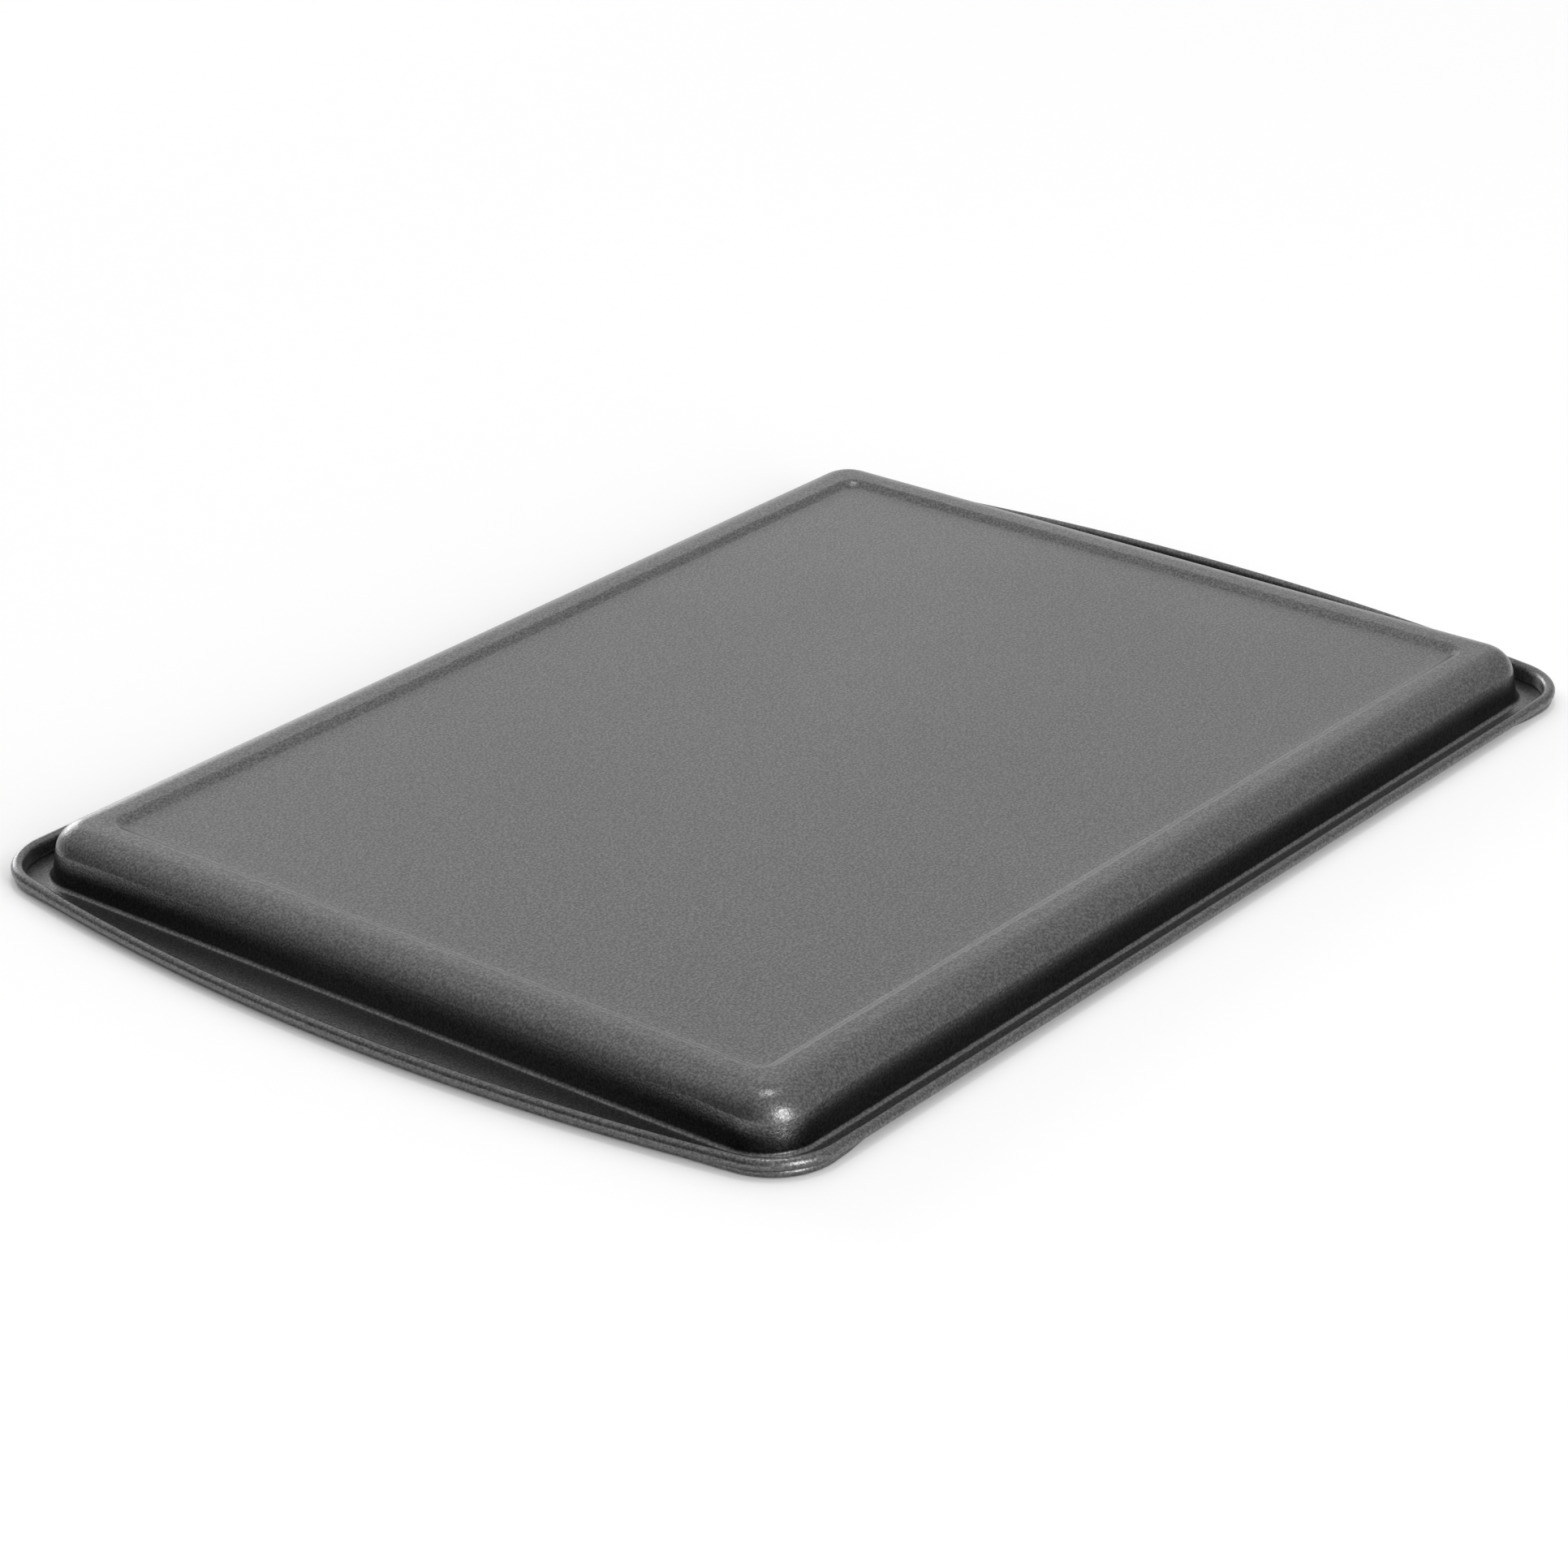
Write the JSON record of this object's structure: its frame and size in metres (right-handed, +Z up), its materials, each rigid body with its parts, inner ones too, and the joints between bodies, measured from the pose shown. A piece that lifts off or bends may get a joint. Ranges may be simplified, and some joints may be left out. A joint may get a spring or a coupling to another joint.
{
  "type": "jelly roll pan",
  "caption": "Shallow drawn steel baking pan with sloping walls, a raised panel in its base and a wire-rolled rim that bows out into a grip at each end, lying upside down.",
  "frame": {"origin": "middle of the pan's outline, on the table that it lies on upside down: the flange's inner-side face is at z = 0", "axes": "+X along the long sides, from one bowed grip to the other; +Y across the pan; +Z up from the table, so the pan's base faces +Z and its inside opens towards -Z"},
  "size_m": [0.3576, 0.2504, 0.014],
  "materials": {
    "coated_steel": "dark grey non-stick coating with a fine metallic fleck, semi-matt",
    "rim_wire_steel": "plain drawn wire, hidden inside the curl"
  },
  "bodies": {
    "root": {"pan_shell": "coated_steel", "rim_wire": "rim_wire_steel"}
  },
  "joints": []
}
